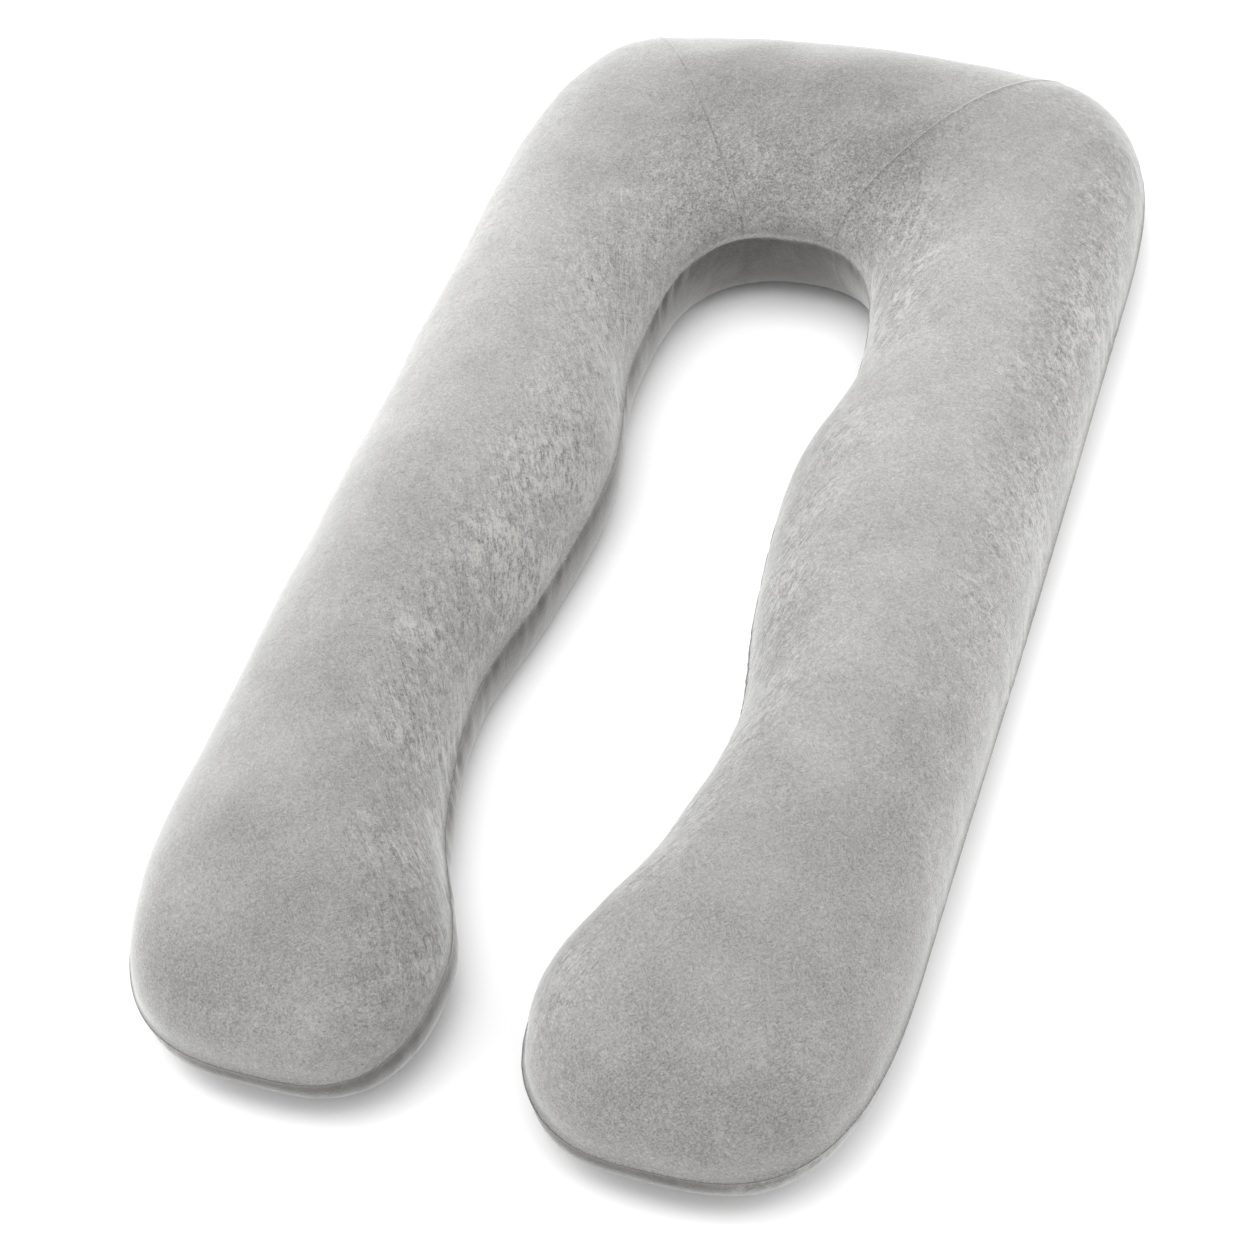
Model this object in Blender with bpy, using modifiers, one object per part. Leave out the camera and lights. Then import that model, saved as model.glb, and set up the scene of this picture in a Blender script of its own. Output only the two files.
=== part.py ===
"""Pregnancy pillow: one U-shaped filled cushion, lying on its back.

Metres, +Z up. The legs run along Y, the closed crown is at +Y, and the pillow rests on z = 0.
"""

from math import cos, pi, sin

import bpy
from mathutils import Vector

# Plan of the cover, seen from above. Only the half at +X is drawn, and it is mirrored.
LENGTH = 1.45
WIDTH = 0.740
CROWN_BOW = 0.020
CORNER_WIDTH = 0.131
CORNER_LENGTH = 0.318
CORNER_POWER = 2.83
FOOT_OUTER_Y = -0.448
FOOT_INNER_Y = -0.593
FOOT_TIP_X = 0.180
FOOT_OUTER_POWER = 3.1
FOOT_INNER_POWER = 2.67
ARCH_Y = 0.205
ARCH_TOP_Y = 0.398
ARCH_POWER = 2.68

# Half width of the gap between the legs, at even steps from the arch to the feet.
GAP_HALF_WIDTHS = (0.123, 0.0955, 0.1073, 0.1326, 0.1048, 0.045)

# Shape of the cover along the pillow, by place: 0 is the crown's middle, 1 the shoulder and 2 the foot.
# columns: place, height on the ridge, seam height and tuck under the seam, outside and then inside
PROFILES = (
    (0.0, 0.194, 0.073, 0.036, 0.105, 0.052),
    (0.6, 0.180, 0.058, 0.036, 0.097, 0.051),
    (1.0, 0.185, 0.060, 0.033, 0.083, 0.038),
    (1.5, 0.197, 0.052, 0.028, 0.074, 0.028),
    (2.0, 0.190, 0.065, 0.046, 0.078, 0.058),
)
# The same at the tip of the foot.
FOOT_SEAM = 0.057
FOOT_TUCK = 0.060

# Roundness of the top: how far the fill pushes the cover out between the ridge and the seam.
DOME_REACH = 1.88
DOME_RISE = 0.99

# The edge seam is drawn in between two lips of cloth.
SEAM_DEPTH = 0.004
LIP_HEIGHT = 0.009

# A piecing seam crosses the crown on each side, from its back edge to the arch, in a shallow channel.
PIECING_PLACE = 0.204
PIECING_DEPTH = 0.002
CHANNEL_HALF_STEP = 0.014

# Steps of the cage.
CROWN_EDGE_SHARE = 0.16
CROWN_PLACES = (0.0, 0.09, 0.29, 0.41, 0.54, 0.69, 0.85)
LEG_STEPS = 9
FOOT_STEPS = 10
DOME_ANGLES = tuple(pi / 2 * share for share in (0.17, 0.30, 0.43, 0.56, 0.70, 0.85))
FLAT_MARGIN = 0.035
FITTING_PASSES = 6

COVER_COLOUR = (0.43, 0.43, 0.42, 1.0)
COVER_ROUGHNESS = 0.9


def clear_scene():
    for old in list(bpy.data.objects):
        bpy.data.objects.remove(old, do_unlink=True)


def through(values, place):
    """A smooth curve through evenly spaced values, level at both ends."""
    last = len(values) - 1
    k = min(int(place), last - 1)
    t = place - k
    start, end = values[k], values[k + 1]
    slope_in = (end - values[k - 1]) / 2 if k > 0 else 0.0
    slope_out = (values[k + 2] - start) / 2 if k + 2 <= last else 0.0
    fall = 2 * t**3 - 3 * t**2 + 1
    return fall * start + (1 - fall) * end + (t**3 - 2 * t**2 + t) * slope_in + (t**3 - t**2) * slope_out


def profile_at(place):
    """The profile's columns at a place between two rows of the table."""
    for low, high in zip(PROFILES, PROFILES[1:]):
        if place <= high[0]:
            break
    t = (place - low[0]) / (high[0] - low[0])
    ease = t * t * (3 - 2 * t)
    return [a + (b - a) * ease for a, b in zip(low[1:], high[1:])]


def quarter(share, power):
    """Along and across on a quarter of a superellipse, from (0, 1) to (1, 0)."""
    angle = min(max(share, 0.0), 1.0) * pi / 2
    return sin(angle) ** (2 / power), max(cos(angle), 0.0) ** (2 / power)


def outer_edge(place):
    """The outline's outer side: crown edge, corner and then the straight side of the leg."""
    corner_x = WIDTH / 2 - CORNER_WIDTH
    corner_y = LENGTH / 2 - CROWN_BOW
    if place <= CROWN_EDGE_SHARE:
        share = place / CROWN_EDGE_SHARE
        return Vector((corner_x * share, LENGTH / 2 - CROWN_BOW * share**2))
    if place <= 1:
        across, along = quarter((place - CROWN_EDGE_SHARE) / (1 - CROWN_EDGE_SHARE), CORNER_POWER)
        return Vector((corner_x + CORNER_WIDTH * across, corner_y - CORNER_LENGTH * (1 - along)))
    top = corner_y - CORNER_LENGTH
    return Vector((WIDTH / 2, top + (FOOT_OUTER_Y - top) * (place - 1)))


def inner_edge(place):
    """The outline's inner side: the arch under the crown and then the waisted side of the leg."""
    if place <= 1:
        across, along = quarter(place, ARCH_POWER)
        return Vector((GAP_HALF_WIDTHS[0] * across, ARCH_Y + (ARCH_TOP_Y - ARCH_Y) * along))
    half_gap = through(GAP_HALF_WIDTHS, (place - 1) * (len(GAP_HALF_WIDTHS) - 1))
    return Vector((half_gap, ARCH_Y + (FOOT_INNER_Y - ARCH_Y) * (place - 1)))


def foot_edge(turn):
    """The outline round the foot, from its outer start at 0 past the tip at 1 to its inner start at 2."""
    if turn <= 1:
        along, across = quarter(turn, FOOT_OUTER_POWER)
        start = outer_edge(2)
    else:
        along, across = quarter(2 - turn, FOOT_INNER_POWER)
        start = inner_edge(2)
    return Vector((FOOT_TIP_X + (start.x - FOOT_TIP_X) * across, start.y - (LENGTH / 2 + start.y) * along))


def rib(edge, ridge, height, seam, tuck, sink=0.0):
    """Points from beside the ridge out over the dome, round the seam and in under the pillow to its flat sole."""
    outward = (edge - ridge).normalized()
    reach = (edge - ridge).length - sink
    top = []
    for angle in reversed(DOME_ANGLES):
        top.append((reach * cos(angle) ** (2 / DOME_REACH), seam + (height - seam) * sin(angle) ** DOME_RISE))
    lips = [(reach, seam + LIP_HEIGHT), (reach - SEAM_DEPTH, seam), (reach, seam - LIP_HEIGHT)]
    belly = [(reach - tuck * (1 - cos(pi / 4)), seam * (1 - sin(pi / 4)))]
    sole = [(reach - tuck, 0.0), (reach - tuck - FLAT_MARGIN, 0.0)]
    points = []
    for distance, z in top + lips + belly + sole:
        spot = ridge + outward * distance
        points.append(Vector((spot.x, spot.y, z)))
    return points


def ribs_of_half():
    """The ribs of the half at +X, in order round its outline: each one's ridge point, height and points."""
    channel = [PIECING_PLACE + k * CHANNEL_HALF_STEP for k in (-1, 0, 1)]
    leg = [1 + k / LEG_STEPS for k in range(LEG_STEPS + 1)]
    outer = []
    inner = []
    for place in sorted([*CROWN_PLACES, *channel]) + leg:
        height, outer_seam, outer_tuck, inner_seam, inner_tuck = profile_at(place)
        sink = PIECING_DEPTH if place == PIECING_PLACE else 0.0
        height -= sink
        ridge = (outer_edge(place) + inner_edge(place)) / 2
        outer.append((ridge, height, rib(outer_edge(place), ridge, height, outer_seam, outer_tuck, sink)))
        inner.append((ridge, height, rib(inner_edge(place), ridge, height, inner_seam, inner_tuck, sink)))
    foot = []
    for k in range(1, FOOT_STEPS):
        turn = 2 * k / FOOT_STEPS
        start_seam, start_tuck = (outer_seam, outer_tuck) if turn < 1 else (inner_seam, inner_tuck)
        ease = sin(min(turn, 2 - turn) * pi / 2) ** 2
        seam = start_seam + (FOOT_SEAM - start_seam) * ease
        tuck = start_tuck + (FOOT_TUCK - start_tuck) * ease
        foot.append((ridge, height, rib(foot_edge(turn), ridge, height, seam, tuck)))
    return outer + foot + inner[::-1]


def cage():
    """The coarse cage's points and faces. Ribs that share a ridge point meet there, on the top and on the sole."""
    half = ribs_of_half()
    mirrored = []
    for ridge, height, points in half[-2:0:-1]:
        flipped = [Vector((-point.x, point.y, point.z)) for point in points]
        mirrored.append((Vector((-ridge.x, ridge.y)), height, flipped))
    ribs = half + mirrored
    vertices = []
    ridges = {}
    rows = []
    for ridge, height, points in ribs:
        key = (round(ridge.x, 5), round(ridge.y, 5))
        if key not in ridges:
            ridges[key] = len(vertices)
            vertices += [Vector((ridge.x, ridge.y, height)), Vector((ridge.x, ridge.y, 0.0))]
        first = len(vertices)
        vertices += points
        rows.append([ridges[key], *range(first, first + len(points)), ridges[key] + 1])
    faces = []
    for row, following in zip(rows, rows[1:] + rows[:1]):
        for a, b, c, d in zip(row, row[1:], following[1:], following):
            corners = [d, c, b, a]
            faces.append([corner for k, corner in enumerate(corners) if corner != corners[k - 1]])
    return vertices, faces


def fit_skin(pillow, wanted):
    """Pushes the cage out until the smoothed skin passes through the drawn points; the flat sole stays put."""
    for _ in range(FITTING_PASSES):
        skin = pillow.evaluated_get(bpy.context.evaluated_depsgraph_get()).data
        reached = [vertex.co.copy() for vertex in skin.vertices[: len(wanted)]]
        for vertex, aim, now in zip(pillow.data.vertices, wanted, reached):
            if aim.z > 0:
                vertex.co += aim - now
        pillow.data.update()


def cover_material():
    material = bpy.data.materials.new("cover")
    material.use_nodes = True
    shader = material.node_tree.nodes["Principled BSDF"]
    shader.inputs["Base Color"].default_value = COVER_COLOUR
    shader.inputs["Roughness"].default_value = COVER_ROUGHNESS
    shader.inputs["Metallic"].default_value = 0.0
    return material


def build():
    clear_scene()
    collection = bpy.data.collections.new("pregnancy_pillow")
    bpy.context.scene.collection.children.link(collection)
    vertices, faces = cage()
    mesh = bpy.data.meshes.new("pillow")
    mesh.from_pydata(vertices, [], faces)
    mesh.materials.append(cover_material())
    pillow = bpy.data.objects.new("pillow", mesh)
    collection.objects.link(pillow)
    smooth = pillow.modifiers.new("skin", "SUBSURF")
    smooth.levels = 1
    smooth.render_levels = 1
    fit_skin(pillow, vertices)


build()
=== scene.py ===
from math import pi, radians

import bpy
import numpy as np
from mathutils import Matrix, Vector, noise


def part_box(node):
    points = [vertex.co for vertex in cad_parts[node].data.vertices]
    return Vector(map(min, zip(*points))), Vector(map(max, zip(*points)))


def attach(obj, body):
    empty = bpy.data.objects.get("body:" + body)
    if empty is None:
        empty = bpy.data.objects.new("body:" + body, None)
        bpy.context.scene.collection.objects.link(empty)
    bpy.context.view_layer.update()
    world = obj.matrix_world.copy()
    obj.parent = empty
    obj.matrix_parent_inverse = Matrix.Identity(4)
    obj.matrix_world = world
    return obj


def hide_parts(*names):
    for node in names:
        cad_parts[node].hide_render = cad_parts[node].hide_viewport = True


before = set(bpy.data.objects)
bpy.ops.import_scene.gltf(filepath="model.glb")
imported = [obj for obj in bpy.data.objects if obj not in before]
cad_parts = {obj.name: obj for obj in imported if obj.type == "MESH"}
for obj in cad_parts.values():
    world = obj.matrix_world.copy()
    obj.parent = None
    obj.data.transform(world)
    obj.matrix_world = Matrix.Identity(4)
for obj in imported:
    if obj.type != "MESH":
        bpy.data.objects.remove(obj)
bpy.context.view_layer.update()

# The pillow: a top and a back panel of short crushed plush, cut to one U outline and sewn together all
# round. The fibre filling domes the top, rounds the sides and flattens where the pillow lies. Two fine
# piecing seams join the crown's part of the top panel to the legs' parts.

low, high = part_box("pillow")
LENGTH = high[1] - low[1]
WIDTH = high[0] - low[0]
CROWN_BOW = 0.020
CORNER_WIDTH = 0.131
CORNER_LENGTH = 0.318
CORNER_POWER = 2.83
FOOT_OUTER_Y = -0.448
FOOT_INNER_Y = -0.593
FOOT_TIP_X = 0.180
FOOT_OUTER_POWER = 3.1
FOOT_INNER_POWER = 2.67
ARCH_Y = 0.205
ARCH_TOP_Y = 0.398
ARCH_POWER = 2.68
GAP_HALF_WIDTHS = (0.123, 0.0955, 0.1073, 0.1326, 0.1048, 0.045)
CROWN_EDGE_SHARE = 0.16
PIECING_PLACE = 0.204

# place along the pillow: 0 crown's middle, 1 shoulder, 2 foot; then ridge height, and seam height and tuck
# under the seam on the outside and on the inside
PROFILES = np.array((
    (0.0, 0.194, 0.073, 0.036, 0.105, 0.052),
    (0.6, 0.180, 0.058, 0.036, 0.097, 0.051),
    (1.0, 0.185, 0.060, 0.033, 0.083, 0.038),
    (1.5, 0.197, 0.052, 0.028, 0.074, 0.028),
    (2.0, 0.190, 0.065, 0.046, 0.078, 0.058),
))
FOOT_SEAM = 0.057
FOOT_TUCK = 0.060
DOME_REACH = 1.88
DOME_RISE = 0.99
RIDGE_SOFTNESS = 0.09


def profile_at(place, column):
    rows = PROFILES[:, 0]
    k = np.clip(np.searchsorted(rows, place) - 1, 0, len(rows) - 2)
    t = (place - rows[k]) / (rows[k + 1] - rows[k])
    ease = t * t * (3 - 2 * t)
    return PROFILES[k, column] * (1 - ease) + PROFILES[k + 1, column] * ease


def quarter(share, power):
    angle = np.clip(share, 0, 1) * pi / 2
    return np.sin(angle) ** (2 / power), np.maximum(np.cos(angle), 0) ** (2 / power)


def outer_edge(place):
    corner_x = WIDTH / 2 - CORNER_WIDTH
    corner_y = LENGTH / 2 - CROWN_BOW
    along_edge = np.minimum(place / CROWN_EDGE_SHARE, 1)
    across, along = quarter((place - CROWN_EDGE_SHARE) / (1 - CROWN_EDGE_SHARE), CORNER_POWER)
    down_side = np.maximum(place - 1, 0)
    x = corner_x * along_edge + CORNER_WIDTH * across
    y = LENGTH / 2 - CROWN_BOW * along_edge**2 - CORNER_LENGTH * (1 - along)
    return x, y + (FOOT_OUTER_Y - corner_y + CORNER_LENGTH) * down_side


def inner_edge(place):
    across, along = quarter(place, ARCH_POWER)
    gaps = np.array(GAP_HALF_WIDTHS)
    step = np.maximum(place - 1, 0) * (len(gaps) - 1)
    k = np.minimum(step.astype(int), len(gaps) - 2)
    t = step - k
    slopes = np.gradient(gaps)
    slopes[[0, -1]] = 0
    fall = 2 * t**3 - 3 * t**2 + 1
    half_gap = fall * gaps[k] + (1 - fall) * gaps[k + 1]
    half_gap += (t**3 - 2 * t**2 + t) * slopes[k] + (t**3 - t**2) * slopes[k + 1]
    x = np.where(place <= 1, gaps[0] * across, half_gap)
    return x, ARCH_Y + (ARCH_TOP_Y - ARCH_Y) * along + (FOOT_INNER_Y - ARCH_Y) * np.maximum(place - 1, 0)


def foot_edge(turn):
    outer = turn <= 1
    powers = ((turn, FOOT_OUTER_POWER, outer_edge), (2 - turn, FOOT_INNER_POWER, inner_edge))
    sides = []
    for share, power, edge in powers:
        start_x, start_y = edge(np.array([2.0]))
        along, across = quarter(share, power)
        sides.append((FOOT_TIP_X + (start_x - FOOT_TIP_X) * across, start_y - (LENGTH / 2 + start_y) * along))
    return np.where(outer, sides[0][0], sides[1][0]), np.where(outer, sides[0][1], sides[1][1])


# ribs of the half at +X, closer together at the piecing seam
PIECING_ZONE = 0.02
PIECING_RIBS = 15
CROWN_RIBS = 20
SHOULDER_RIBS = 86
LEG_RIBS = 171
FOOT_RIBS = 121
places = np.concatenate([
    np.linspace(0, PIECING_PLACE - PIECING_ZONE, CROWN_RIBS)[:-1],
    PIECING_PLACE + np.linspace(-PIECING_ZONE, PIECING_ZONE, PIECING_RIBS),
    np.linspace(PIECING_PLACE + PIECING_ZONE, 1, SHOULDER_RIBS)[1:],
    np.linspace(1, 2, LEG_RIBS)[1:],
])
turns = np.linspace(0, 2, FOOT_RIBS)[1:-1]
outer_x, outer_y = outer_edge(places)
inner_x, inner_y = inner_edge(places)
foot_x, foot_y = foot_edge(turns)
edge_x = np.concatenate([outer_x, foot_x, inner_x[::-1]])
edge_y = np.concatenate([outer_y, foot_y, inner_y[::-1]])
edge = np.stack([edge_x, edge_y], 1)
middle_x, middle_y = (outer_x + inner_x) / 2, (outer_y + inner_y) / 2
stay = np.full(len(turns), len(places) - 1)
order = np.concatenate([np.arange(len(places)), stay, np.arange(len(places))[::-1]])
ridge = np.stack([middle_x[order], middle_y[order]], 1)
at_place = places[order]
height = profile_at(places, 1)[order]
toward_tip = np.sin(np.minimum(turns, 2 - turns) * pi / 2) ** 2


def round_outline(outer_column, inner_column, tip):
    outer, inner = profile_at(places, outer_column), profile_at(places, inner_column)
    start = np.where(turns < 1, outer[-1], inner[-1])
    return np.concatenate([outer, start + (tip - start) * toward_tip, inner[::-1]])


seam_height = round_outline(2, 4, FOOT_SEAM)
tuck = round_outline(3, 5, FOOT_TUCK)
mirror = slice(-2, 0, -1)
edge, ridge = (np.concatenate([p, p[mirror] * (-1, 1)]) for p in (edge, ridge))
height, seam_height, tuck, at_place = (
    np.concatenate([v, v[mirror]]) for v in (height, seam_height, tuck, at_place)
)
outward = edge - ridge
reach = np.linalg.norm(outward, axis=1)
outward /= reach[:, None]
round_walk = np.concatenate([[0], np.cumsum(np.linalg.norm(np.diff(edge, axis=0), axis=1))])

# rows of each rib, as angles: down the dome to the seam, then round the side, and two on the sole
DOME_ROWS = 38
SIDE_ROWS = 11
NEAR_SEAM = np.array((0.09, 0.062, 0.042, 0.028, 0.018, 0.010, 0.004))
SIDE_SPACING = 1.6
SOLE_MARGINS = (0.02, 0.05)
dome = np.concatenate([np.linspace(pi / 2, 0.13, DOME_ROWS)[1:], NEAR_SEAM])
side = np.concatenate([NEAR_SEAM[::-1] * SIDE_SPACING, np.linspace(0.2, pi / 2, SIDE_ROWS)])

# the seam is drawn in on the inner sides and round the feet, and the back panel bulges below it there
DRAWN_IN = 0.004
BULGE = 1.7
BULGE_ANGLE = 0.35
inner_side = np.clip(places[::-1] * 3, 0, 1)
drawn_in = DRAWN_IN * np.concatenate([np.zeros(len(places)), toward_tip, inner_side])
drawn_in[len(places) : len(places) + len(turns)][turns > 1] = DRAWN_IN
drawn_in = np.concatenate([drawn_in, drawn_in[mirror]])
belly = np.minimum(side / BULGE_ANGLE, 1) * pi / 2
level = np.sqrt(1 - RIDGE_SOFTNESS**2) * np.sqrt(1 - np.cos(dome) ** 2)
far = np.concatenate([
    (reach - drawn_in)[:, None] * np.cos(dome) ** (2 / DOME_REACH),
    (reach - drawn_in)[:, None],
    reach[:, None] - tuck[:, None] * (1 - np.cos(side)) - drawn_in[:, None] * (1 - BULGE * np.sin(belly)),
    (reach - tuck)[:, None] - SOLE_MARGINS,
], 1)
rise = np.concatenate([
    seam_height[:, None] + (height - seam_height)[:, None] * level**DOME_RISE,
    seam_height[:, None],
    seam_height[:, None] * (1 - np.sin(side)),
    np.zeros((len(reach), len(SOLE_MARGINS))),
], 1)
skin = np.concatenate([ridge[:, None] + outward[:, None] * far[..., None], rise[..., None]], 2)

# distance down each rib from the seam, positive above it
down = np.linalg.norm(np.diff(skin, axis=1), axis=2)
walk = np.concatenate([np.zeros((len(skin), 1)), np.cumsum(down, 1)], 1)
seam_row = len(dome)
from_seam = walk[:, seam_row : seam_row + 1] - walk

# outward normals of the smooth skin
along_outline = np.roll(skin, -1, 0) - np.roll(skin, 1, 0)
down_rib = np.gradient(skin, axis=1)
normal = np.cross(down_rib, along_outline)
normal /= np.linalg.norm(normal, axis=2)[..., None] + 1e-12

# the plush is combed down from the ridge and towards the feet on the legs, and straight down at the crown
# and the tips; the combing is plain on the legs and shoulders, faint round the arch, hardly there on the feet
PUCKER_SLANT = 0.65
COMBED_OUTSIDE = ((0, 0.3), (0.25, 0.9), (1.3, 0.9), (1.7, 0.4), (2, 0.05))
COMBED_INSIDE = ((0, 0.1), (0.5, 0.5), (1, 1), (1.9, 1), (2, 0.8))
COMBED_FOOT = ((0, 0.05), (1.5, 0.05), (2, 0.8))
SWAY_PLACE = 0.35
inner_places = places[::-1]
outer_sway = np.clip(places / SWAY_PLACE, 0, 1)
sway = np.concatenate([outer_sway, 1 - turns, -outer_sway[::-1]])
sway = np.concatenate([sway, -sway[mirror]])
lay = round_walk[:, None] + PUCKER_SLANT * sway[:, None] * from_seam
combing = np.concatenate([
    np.interp(at, *np.transpose(table))
    for at, table in ((places, COMBED_OUTSIDE), (turns, COMBED_FOOT), (inner_places, COMBED_INSIDE))
])
combing = np.concatenate([combing, combing[mirror]])[:, None] + np.zeros(skin.shape[:2])

# soft unevenness of the filling, the seam's groove, and fine slanting puckers that its stitches draw in
LUMP_HEIGHT = 0.0022
LUMPS = 9
SMALL_LUMPS = 21
PUCKER_HEIGHT = 0.0023
PUCKER_REACH = 0.045
PUCKER_PITCH = 0.013
PUCKER_LENGTH = 3.2
SEAM_DEPTH = 0.0035
SEAM_SPREAD = 0.0028
SOLE_FADE = 0.02


def noise_over(points):
    return np.array([noise.noise(Vector(p)) for p in points.reshape(-1, 3)]).reshape(points.shape[:-1])


lumps = noise_over(skin * LUMPS) + 0.5 * noise_over(skin * SMALL_LUMPS + 7)
strokes = np.dstack([lay, from_seam / PUCKER_LENGTH, np.zeros(lay.shape)]) / PUCKER_PITCH
puckers = (noise_over(strokes) + 0.5 * noise_over(strokes * 2.1)) * (0.25 + 0.75 * combing)
patches = np.clip(0.55 + 1.3 * noise_over(skin * (11, 8, 11) + 3), 0, 1.4)
fade = np.exp(-((np.abs(from_seam) / PUCKER_REACH) ** 1.3))
groove = np.exp(-np.abs(from_seam) / SEAM_SPREAD)
above_sole = np.clip(rise / SOLE_FADE, 0, 1) ** 2
lift = LUMP_HEIGHT * lumps * above_sole * (1 - groove)
lift += PUCKER_HEIGHT * puckers * patches * fade * above_sole * (1 - 0.7 * groove)
lift -= SEAM_DEPTH * groove

# the piecing seam's shallow channel runs down the ribs at its place, fainter below the edge seam
PIECING_DEPTH = 0.001
PIECING_SPREAD = 0.0025
PIECING_BELOW = 0.3
rib_spacing = np.abs(at_place - PIECING_PLACE)[:, None] * np.linalg.norm(along_outline, axis=2)
place_step = np.abs(np.roll(at_place, -1) - np.roll(at_place, 1))[:, None] + 1e-9
from_piecing = rib_spacing / place_step
channel = np.exp(-((from_piecing / PIECING_SPREAD) ** 2)) * np.where(from_seam > 0, 1, PIECING_BELOW)
lift -= PIECING_DEPTH * channel * above_sole
skin = skin + normal * lift[..., None]
skin[..., 2] = np.maximum(skin[..., 2], 0)

# ribs meet in one point on the ridge and in one on the sole
spots, hub = np.unique(np.round(ridge, 5), axis=0, return_inverse=True)
hub = hub.reshape(-1)
top = np.zeros(len(spots))
top[hub] = skin[:, 0, 2]
hub_points = [np.column_stack([spots, top]), np.column_stack([spots, np.zeros(len(spots))])]
points = np.concatenate([*hub_points, skin.reshape(-1, 3)])
rib_points = 2 * len(spots) + np.arange(skin[..., 0].size).reshape(skin.shape[:2])
rows = np.column_stack([hub, rib_points, hub + len(spots)])
following = np.roll(rows, -1, 0)
corners = np.stack([rows[:, :-1], following[:, :-1], following[:, 1:], rows[:, 1:]], 2)
faces = [list(dict.fromkeys(face)) for face in corners.reshape(-1, 4).tolist()]

mesh = bpy.data.meshes.new("pillow_cover")
mesh.from_pydata(points.tolist(), [], faces)
mesh.polygons.foreach_set("use_smooth", [True] * len(mesh.polygons))
CENTRE_TO_SEAM = 0.2
for name, values, at_hub in (
    ("from_seam", from_seam, CENTRE_TO_SEAM),
    ("from_piecing", from_piecing, 1),
    ("lay", lay, 0),
    ("combing", combing, 0),
):
    column = mesh.attributes.new(name, "FLOAT", "POINT")
    column.data.foreach_set("value", np.concatenate([np.full(2 * len(spots), at_hub), values.reshape(-1)]))
cover = bpy.data.objects.new("pillow_cover", mesh)
bpy.context.scene.collection.objects.link(cover)


class Shade:
    """A socket in a material or in the studio's air, so that sums on it are written as sums."""

    def __init__(self, tree, socket=None):
        self.tree = tree
        self.socket = socket

    def node(self, kind, settings, sockets, out=0):
        made = self.tree.nodes.new(kind)
        for name, value in settings.items():
            setattr(made, name, value)
        for name, value in sockets.items():
            if isinstance(value, Shade):
                self.tree.links.new(value.socket, made.inputs[name])
            else:
                made.inputs[name].default_value = value
        return Shade(self.tree, made.outputs[out])

    def also(self, out):
        return Shade(self.tree, self.socket.node.outputs[out])

    def maths(self, operation, first, second=0.0, clamp=False):
        settings = {"operation": operation, "use_clamp": clamp}
        return self.node("ShaderNodeMath", settings, {0: first, 1: second})

    def __add__(self, other):
        return self.maths("ADD", self, other)

    def __radd__(self, other):
        return self.maths("ADD", other, self)

    def __sub__(self, other):
        return self.maths("SUBTRACT", self, other)

    def __rsub__(self, other):
        return self.maths("SUBTRACT", other, self)

    def __mul__(self, other):
        return self.maths("MULTIPLY", self, other)

    def __rmul__(self, other):
        return self.maths("MULTIPLY", other, self)

    def __pow__(self, other):
        return self.maths("POWER", self, other)

    def size(self):
        return self.maths("ABSOLUTE", self)

    def clamped(self):
        return self.maths("ADD", self, 0.0, clamp=True)

    def ramp(self, start, end):
        settings = {"interpolation_type": "SMOOTHSTEP"}
        return self.node("ShaderNodeMapRange", settings, {"Value": self, "From Min": start, "From Max": end})

    def laid(self, stretch, turn):
        settings = {"vector_type": "TEXTURE"}
        sockets = {"Vector": self, "Rotation": (0, 0, turn), "Scale": stretch}
        return self.node("ShaderNodeMapping", settings, sockets)

    def noise(self, scale, detail, roughness, distortion=0.0):
        grain = {"Scale": scale, "Detail": detail, "Roughness": roughness, "Distortion": distortion}
        return self.node("ShaderNodeTexNoise", {}, {"Vector": self, **grain})

    def mix(self, first, second):
        return self.node("ShaderNodeMix", {"data_type": "RGBA"}, {0: self, 6: first, 7: second}, out=2)


# grains of the plush to a metre, from single hairs to broad swathes
HAIRS = 620
SPECKS = 400
STREAKS = 270
TUFTS = 230
WHORLS = 190
WISPS = 150
GATHERS = 120
FOLDS = 90
CRUSH = 85
SWATHES = 12
HAIR_STRETCH = (2.6, 0.8, 1)
STREAK_STRETCH = 0.5
PLUSH_DARK = (0.0985, 0.0973, 0.0942, 1)
PLUSH_LIGHT = (0.361, 0.3565, 0.3455, 1)
# the dark grey of the painted shade on the walls below the seam
PLUSH_SHADE_BELOW_SEAM = (0.047, 0.0425, 0.0375, 1)
plush = bpy.data.materials.new("crushed_plush")
plush.use_nodes = True
tree = plush.node_tree
shader = tree.nodes["Principled BSDF"]
blank = Shade(tree)
spot = blank.node("ShaderNodeTexCoord", {}, {}, out=3)
seam_away, piecing_away, along, combed_here = (
    blank.node("ShaderNodeAttribute", {"attribute_name": name}, {}, out=2)
    for name in ("from_seam", "from_piecing", "lay", "combing")
)
combed = blank.node("ShaderNodeCombineXYZ", {}, {0: along, 1: seam_away * STREAK_STRETCH})
to_right = blank.node("ShaderNodeSeparateXYZ", {}, {0: spot})
toward_crown = to_right.also(1)

# felt: hairs that lie two ways, in small whorls
hairs_left = spot.laid(HAIR_STRETCH, radians(38)).noise(HAIRS, 2, 0.6, 0.5)
hairs_right = spot.laid(HAIR_STRETCH, radians(-52)).noise(HAIRS, 2, 0.6, 0.5)
whorls = spot.noise(WHORLS, 2, 0.5).ramp(0.4, 0.6)
felt = hairs_left * whorls + hairs_right * (1 - whorls)
specks = spot.noise(SPECKS, 2, 0.6, 0.8)
tufts = spot.noise(TUFTS, 2, 0.6, 1.0)
crush = spot.noise(CRUSH, 4, 0.65, 1.2)
wisps = spot.noise(WISPS, 3, 0.6, 3.0)
swathes = spot.noise(SWATHES, 3, 0.5, 0.4)
streaks = combed.noise(STREAKS, 3, 0.65, 0.7)
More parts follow.
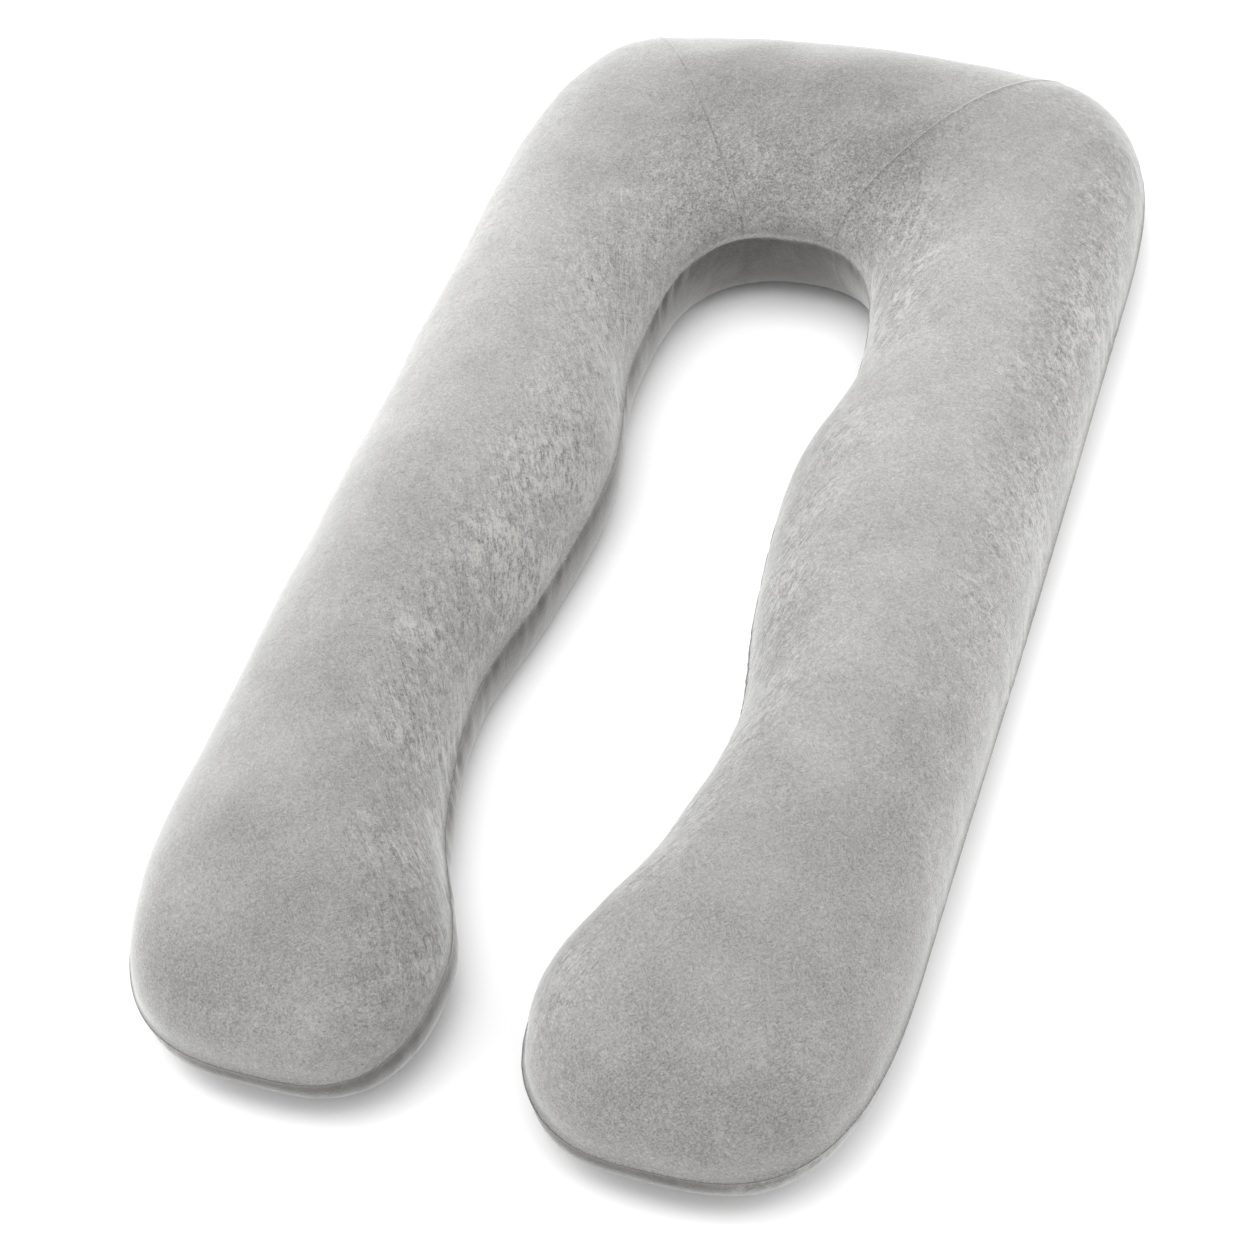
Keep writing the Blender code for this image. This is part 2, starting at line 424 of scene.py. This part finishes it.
# painted shade: light and dark bands along the combing for the shading of folds, and below the seam for the
# shading of gathers
fold_shading = combed.noise(FOLDS, 3, 0.6, 0.8)
gather_shading = combed.noise(GATHERS, 2, 0.5)

# where each grain shows: beside the seam, below it, off the feet, towards the crown
above = seam_away.ramp(0.002, 0.012)
below = 1 - seam_away.ramp(-0.003, 0.0)
edges = (1 - seam_away.size().ramp(0.06, 0.2)) * above
patchy = 0.5 + swathes.ramp(0.42, 0.6) * 0.5
combs = edges * combed_here * patchy
ruffled = edges * patchy * (0.25 + combed_here * 0.75)
coarse = toward_crown.ramp(-0.35, 0.5)
off_feet = toward_crown.ramp(-0.6, -0.2)
tone = 0.5 + (felt - 0.5) * 1.4
for grain, contrast in (
    (specks, coarse * 0.3 + edges * 0.8),
    (tufts, 0.15 + coarse * 0.15),
    (wisps, off_feet * 0.5 + edges * 0.4),
    (swathes, 0.5),
    (crush, 0.12 + off_feet * 0.25 + ruffled * 1.6 + below * 1.2),
    (streaks, combs * 2.6),
    (fold_shading, combs * 1.7),
    (gather_shading, below * 0.9),
):
    tone = tone + (grain - 0.5) * contrast

# broad tones: lighter up the legs and to the right; painted shade over the crown, most on its middle slope,
# and below the seam; painted nap sheen, lighter on the left leg's edges and darker on the right's
crown_middle_shade = toward_crown.ramp(0.3, 0.5) * (1 - to_right.size().ramp(0.08, 0.24))
sided = to_right * 8
painted_nap_sheen = sided.maths("TANH", sided) * edges * combed_here
tone = tone - 0.09 + to_right * 0.08 + toward_crown.ramp(-0.6, 0.1) * 0.2
tone = tone - toward_crown.ramp(0.25, 0.55) * 0.17 - crown_middle_shade * 0.16 - painted_nap_sheen * 0.12 - below * 0.1

# painted shade along the groove of each seam, and a painted highlight on the thin lip above the edge seam
LIP_ABOVE_SEAM = 0.003
LIP_HALF_WIDTH = 0.0012
seam_groove_shade = 1 - (seam_away + 0.001).size().ramp(0.0006, 0.0022)
piecing_channel_shade = (1 - piecing_away.ramp(0.0003, 0.0016)) * (0.1 + crush.ramp(0.42, 0.6) * 0.4)
lip_highlight = (1 - (seam_away - LIP_ABOVE_SEAM).size() * (1 / LIP_HALF_WIDTH)).clamped()
tone = (tone + lip_highlight * 0.12 - seam_groove_shade.maths("MAXIMUM", seam_groove_shade, piecing_channel_shade) * 0.6).clamped()
# painted shade: the walls below the seam are mixed towards a dark grey, a little on the outer sides and most
# on the inner walls and round the arch, which face the camera away from the light
shaded_inner_walls = (1 - to_right.size().ramp(0.2, 0.32)) * (1 - toward_crown.ramp(0.5, 0.6))
base = (below * (0.12 + shaded_inner_walls * 0.67)).mix(tone.mix(PLUSH_DARK, PLUSH_LIGHT), PLUSH_SHADE_BELOW_SEAM)
tree.links.new(base.socket, shader.inputs["Base Color"])
relief = felt * 0.4 + tufts * 0.4 + crush * 0.4 + streaks * combs * 0.6
bump = blank.node("ShaderNodeBump", {}, {"Strength": 0.55, "Distance": 0.0016, "Height": relief})
tree.links.new(bump.socket, shader.inputs["Normal"])
shader.inputs["Roughness"].default_value = 0.92
shader.inputs["Sheen Weight"].default_value = 0.75
shader.inputs["Sheen Roughness"].default_value = 0.5
shader.inputs["Sheen Tint"].default_value = (1, 1, 1, 1)
shader.inputs["Specular IOR Level"].default_value = 0.15
mesh.materials.append(plush)

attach(cover, "root")
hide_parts("pillow")

# The floor: a plain matt white surface, like studio paper. The pillow lies on it, and it runs far past the
# view on every side.

FLOOR_SIZE = 60
half = FLOOR_SIZE / 2
floor_corners = [(-half, -half, 0), (half, -half, 0), (half, half, 0), (-half, half, 0)]
floor_mesh = bpy.data.meshes.new("floor")
floor_mesh.from_pydata(floor_corners, [], [(0, 1, 2, 3)])
floor = bpy.data.objects.new("floor", floor_mesh)
floor.location.z = -0.001
bpy.context.scene.collection.objects.link(floor)
paper = bpy.data.materials.new("white_paper")
paper.use_nodes = True
paper_shader = paper.node_tree.nodes["Principled BSDF"]
paper_shader.inputs["Base Color"].default_value = (0.92, 0.92, 0.92, 1)
paper_shader.inputs["Roughness"].default_value = 0.9
floor_mesh.materials.append(paper)

# The light: a white studio whose roof and four walls glow softly, the left one most. Three round soft boxes
# hang in it, one overhead and one on each side, all aimed at the pillow.

ROOF_GLOW = 0.68
LEFT_GLOW = 2.2
RIGHT_GLOW = 1.0
BACK_GLOW = 1.1
FRONT_GLOW = 0.95
world = bpy.data.worlds.new("studio")
world.use_nodes = True
air = Shade(world.node_tree)
facing = air.node("ShaderNodeTexCoord", {}, {}, out=0)
east = air.node("ShaderNodeSeparateXYZ", {}, {"Vector": facing})
north = east.also(1)
up = east.also(2)
glow = ROOF_GLOW * up * up
walls = ((east, RIGHT_GLOW), (0 - east, LEFT_GLOW), (north, BACK_GLOW), (0 - north, FRONT_GLOW))
for side, strength in walls:
    glow = glow + strength * side.maths("MAXIMUM", side, 0) ** 2
backdrop = world.node_tree.nodes["Background"]
backdrop.inputs["Color"].default_value = (1, 1, 1, 1)
world.node_tree.links.new(glow.socket, backdrop.inputs["Strength"])
bpy.context.scene.world = world


def soft_box(name, place, size, watts):
    light = bpy.data.lights.new(name, "AREA")
    light.shape = "DISK"
    light.size = size
    light.energy = watts
    lamp = bpy.data.objects.new(name, light)
    lamp.location = place
    lamp.rotation_euler = (-Vector(place)).to_track_quat("-Z", "Y").to_euler()
    bpy.context.scene.collection.objects.link(lamp)


soft_box("overhead_box", (0, 0, 4.5), 4.0, 129)
soft_box("left_box", (-3, 0, 3), 2.4, 44)
soft_box("right_box", (3, 0, 3), 2.4, 37)
bpy.context.scene.view_settings.view_transform = "Standard"

# The camera: a longer lens on a stand in front of the right leg, turned a little to the left and looking
# steeply down at the pillow's face.

CAMERA_PLACE = (0.7493, -1.7013, 2.0858)
CAMERA_TURN = (0.6998, 0.1176, 0.3205)
FOCAL_PIXELS = 2635.5
PICTURE_PIXELS = 1254
SENSOR_WIDTH = 36
camera_data = bpy.data.cameras.new("camera")
camera_data.sensor_width = SENSOR_WIDTH
camera_data.lens = FOCAL_PIXELS / PICTURE_PIXELS * SENSOR_WIDTH
camera = bpy.data.objects.new("camera", camera_data)
camera.location = CAMERA_PLACE
camera.rotation_euler = CAMERA_TURN
bpy.context.scene.collection.objects.link(camera)
bpy.context.scene.camera = camera
